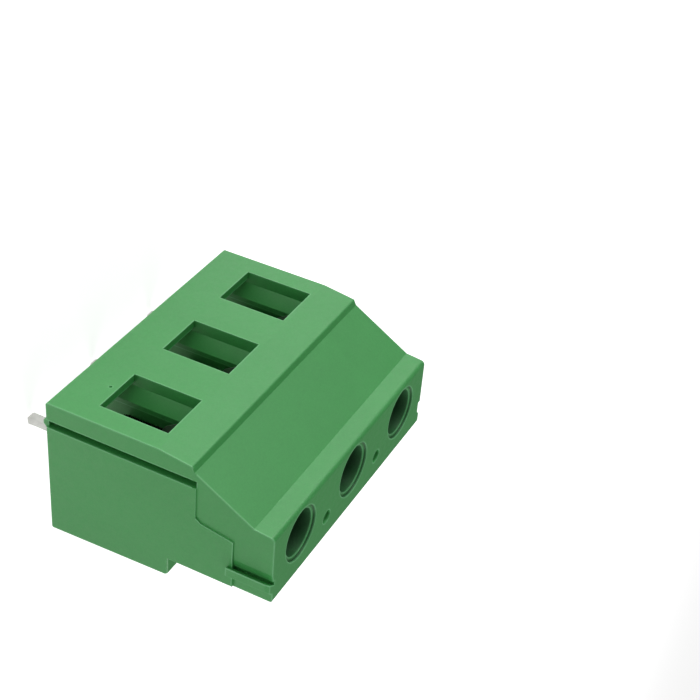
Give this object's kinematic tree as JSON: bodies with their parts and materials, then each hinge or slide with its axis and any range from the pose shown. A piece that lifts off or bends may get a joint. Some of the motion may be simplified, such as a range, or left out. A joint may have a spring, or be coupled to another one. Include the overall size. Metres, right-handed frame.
{
  "type": "pcb screw terminal",
  "caption": "Row of wire clamps for a circuit board: rectangular wire windows in front, round driver holes on top, solder pins below, sloped front and interlocking ends.",
  "frame": {"origin": "centre of the middle solder pin, on the plane of the board", "axes": "+X along the row of poles, towards the end with the groove; -Y the front face with the wire windows; +Z away from the board, towards the driver holes"},
  "size_m": [0.0234, 0.0109, 0.0217],
  "materials": {
    "housing": "green moulded polyamide, finely textured, satin",
    "contact": "tin plated copper alloy, bright with fine scratches",
    "cage": "zinc plated steel, satin",
    "screw": "zinc plated steel, satin"
  },
  "bodies": {
    "root": {"housing_lower": "housing", "housing_upper": "housing", "contact_1": "contact", "contact_2": "contact", "contact_3": "contact"},
    "screw_1": {"clamp_screw_1": "screw"},
    "cage_1": {"clamp_cage_1": "cage"},
    "screw_2": {"clamp_screw_2": "screw"},
    "cage_2": {"clamp_cage_2": "cage"},
    "screw_3": {"clamp_screw_3": "screw"},
    "cage_3": {"clamp_cage_3": "cage"}
  },
  "joints": [
    {"name": "screw_turn_1", "type": "hinge", "parent": "root", "child": "screw_1", "pos_m": [-0.0075, 0.0003, 0.0135], "axis": [0, 0, -1], "range_deg": [0, 1800]},
    {"name": "cage_lift_1", "type": "slide", "parent": "root", "child": "cage_1", "axis": [0, 0, 1], "range_m": [0, 0.0025]},
    {"name": "screw_turn_2", "type": "hinge", "parent": "root", "child": "screw_2", "pos_m": [0, 0.0003, 0.0135], "axis": [0, 0, -1], "range_deg": [0, 1800]},
    {"name": "cage_lift_2", "type": "slide", "parent": "root", "child": "cage_2", "axis": [0, 0, 1], "range_m": [0, 0.0025]},
    {"name": "screw_turn_3", "type": "hinge", "parent": "root", "child": "screw_3", "pos_m": [0.0075, 0.0003, 0.0135], "axis": [0, 0, -1], "range_deg": [0, 1800]},
    {"name": "cage_lift_3", "type": "slide", "parent": "root", "child": "cage_3", "axis": [0, 0, 1], "range_m": [0, 0.0025]}
  ],
  "couplings": [
    {"joint": "screw_turn_1", "follows": "cage_lift_1", "rad_per_m": 12566},
    {"joint": "screw_turn_2", "follows": "cage_lift_2", "rad_per_m": 12566},
    {"joint": "screw_turn_3", "follows": "cage_lift_3", "rad_per_m": 12566}
  ]
}
